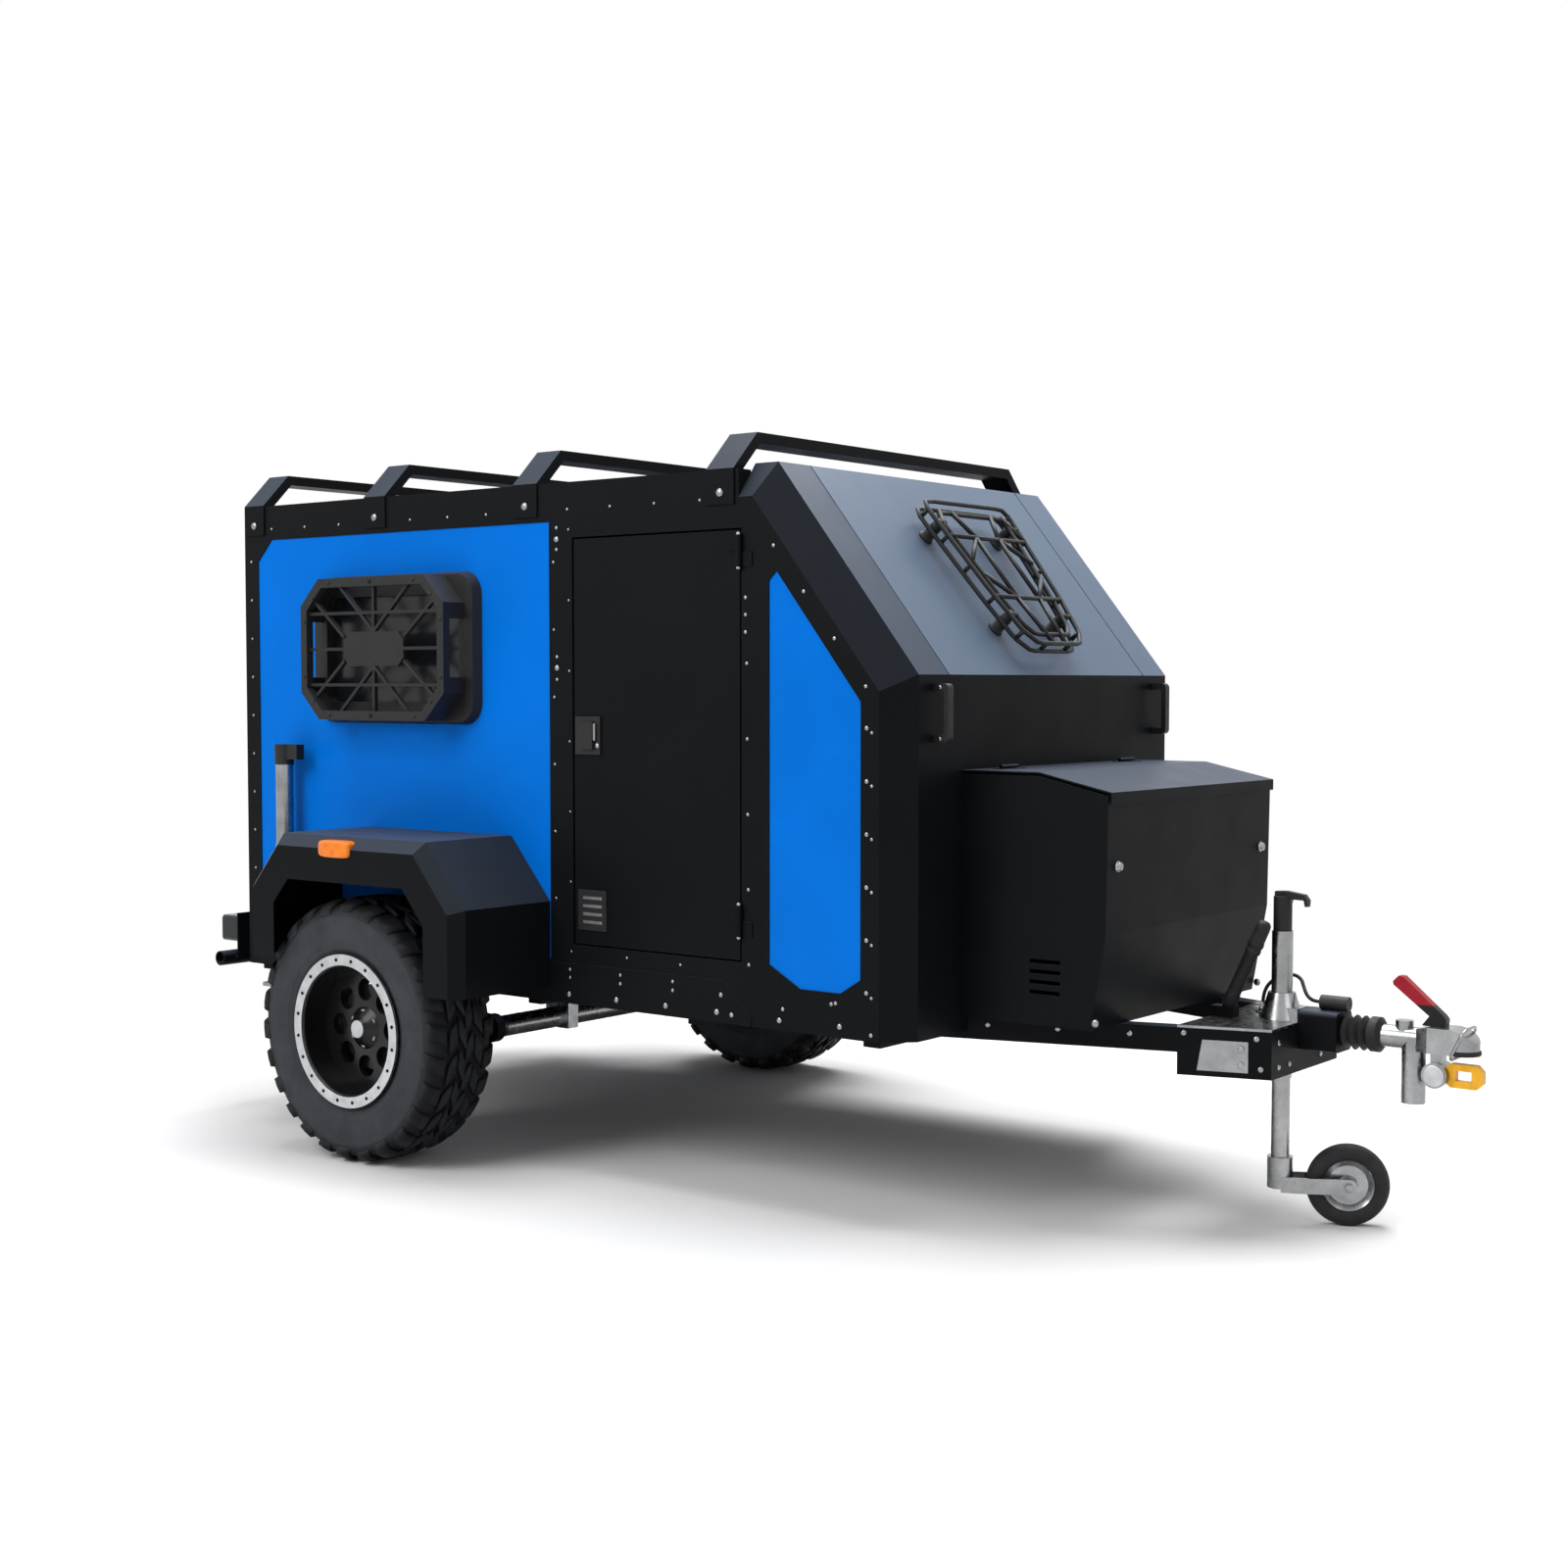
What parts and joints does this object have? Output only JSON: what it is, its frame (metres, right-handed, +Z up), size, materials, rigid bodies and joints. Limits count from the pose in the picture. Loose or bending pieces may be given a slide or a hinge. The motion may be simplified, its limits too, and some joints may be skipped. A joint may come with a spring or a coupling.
{
  "type": "off-road cargo trailer",
  "caption": "Compact off-road cargo trailer: boxy blue-and-black cabin with side doors, rear hatch, roof hoops, nose box, drawbar coupling and swivelling jockey wheel.",
  "frame": {"origin": "on the ground below the middle of the overall box, lead left out", "axes": "+X forward to the coupling, +Y to the trailer's left, +Z up"},
  "size_m": [3.72, 2.098, 1.957],
  "materials": {
    "tyre": "matte black rubber",
    "jockey_rubber": "matte black rubber",
    "rim_black": "satin black",
    "ring_silver": "machined",
    "black_coat": "satin black powder coat",
    "panel_blue": "smooth blue coat",
    "slope_grey": "satin grey coat",
    "glass_dark": "dark tint",
    "black_plastic": "moulded black",
    "zinc_steel": "zinc plated",
    "amber_lens": "moulded amber",
    "red_lens": "moulded red",
    "lever_red": "moulded red",
    "hook_yellow": "moulded yellow",
    "boot_rubber": "matte black",
    "floor_ply": "plywood"
  },
  "bodies": {
    "trailer": {"axle_tube": "zinc_steel", "chassis": "black_coat", "corner_caps": "black_coat", "coupling_head": "zinc_steel", "coupling_hook": "hook_yellow", "coupling_housing": "black_coat", "coupling_lever": "lever_red", "coupling_neck": "zinc_steel", "door_hinges": "black_coat", "drawbar": "black_coat", "drawtube_boot": "boot_rubber", "fenders": "black_coat", "floor": "floor_ply", "front_box": "black_coat", "front_panel": "black_coat", "grab_handles": "black_plastic", "handbrake_lever": "black_coat", "jockey_crank": "black_plastic", "jockey_tube": "zinc_steel", "lead_cable": "boot_rubber", "lead_gland": "black_plastic", "lead_plug": "black_plastic", "marker_lamps": "amber_lens", "nose_plate": "zinc_steel", "nose_skirt": "black_coat", "rear_bar": "black_coat", "rear_frame": "black_coat", "roof_hoops": "black_coat", "roof_panel": "black_coat", "roof_rails": "black_coat", "side_trims": "black_coat", "side_walls": "panel_blue", "slope_panel": "slope_grey", "slope_rack": "black_plastic", "stand_caps": "black_plastic", "stand_tubes": "zinc_steel", "tail_lamps": "red_lens", "trailing_arms": "black_coat", "window_frames": "black_plastic", "window_glass": "glass_dark", "window_guards": "black_plastic"},
    "wheel_left": {"tyre_left": "tyre", "rim_left": "rim_black", "bead_ring_left": "ring_silver"},
    "wheel_right": {"tyre_right": "tyre", "rim_right": "rim_black", "bead_ring_right": "ring_silver"},
    "door_left": {"door_left": "black_coat", "door_fittings_left": "black_plastic"},
    "door_right": {"door_right": "black_coat", "door_fittings_right": "black_plastic"},
    "rear_hatch": {"rear_hatch": "black_coat"},
    "box_lid": {"box_lid": "black_coat"},
    "jockey_stem": {"jockey_stem": "zinc_steel"},
    "jockey_fork": {"jockey_fork": "zinc_steel"},
    "jockey_wheel": {"jockey_tyre": "jockey_rubber", "jockey_rim": "zinc_steel"},
    "stand_left": {"stand_leg_left": "zinc_steel"},
    "stand_right": {"stand_leg_right": "zinc_steel"}
  },
  "joints": [
    {"name": "wheel_left_spin", "type": "hinge", "parent": "trailer", "child": "wheel_left", "pos_m": [-0.942, 0.879, 0.3665], "axis": [0, 1, 0], "continuous": true},
    {"name": "wheel_right_spin", "type": "hinge", "parent": "trailer", "child": "wheel_right", "pos_m": [-0.942, -0.879, 0.3665], "axis": [0, 1, 0], "continuous": true},
    {"name": "door_left_swing", "type": "hinge", "parent": "trailer", "child": "door_left", "pos_m": [0.2165, 0.697, 1], "axis": [0, 0, -1], "range_deg": [0, 110]},
    {"name": "door_right_swing", "type": "hinge", "parent": "trailer", "child": "door_right", "pos_m": [0.2165, -0.697, 1], "axis": [0, 0, 1], "range_deg": [0, 110]},
    {"name": "rear_hatch_lift", "type": "hinge", "parent": "trailer", "child": "rear_hatch", "pos_m": [-1.75, 0, 1.734], "axis": [0, 1, 0], "range_deg": [0, 90]},
    {"name": "box_lid_lift", "type": "hinge", "parent": "trailer", "child": "box_lid", "pos_m": [0.763, 0, 1.1155], "axis": [0, -1, 0], "range_deg": [0, 80]},
    {"name": "jockey_slide", "type": "slide", "parent": "trailer", "child": "jockey_stem", "axis": [0, 0, 1], "range_m": [0, 0.15]},
    {"name": "jockey_swivel", "type": "hinge", "parent": "jockey_stem", "child": "jockey_fork", "pos_m": [1.36, 0, 0.1], "axis": [0, 0, 1], "continuous": true},
    {"name": "jockey_wheel_spin", "type": "hinge", "parent": "jockey_fork", "child": "jockey_wheel", "pos_m": [1.50106, 0.07884, 0.1], "axis": [-0.4879, 0.8729, 0], "continuous": true},
    {"name": "stand_left_drop", "type": "slide", "parent": "trailer", "child": "stand_left", "axis": [0, 0, -1], "range_m": [0, 0.4]},
    {"name": "stand_right_drop", "type": "slide", "parent": "trailer", "child": "stand_right", "axis": [0, 0, -1], "range_m": [0, 0.4]}
  ]
}
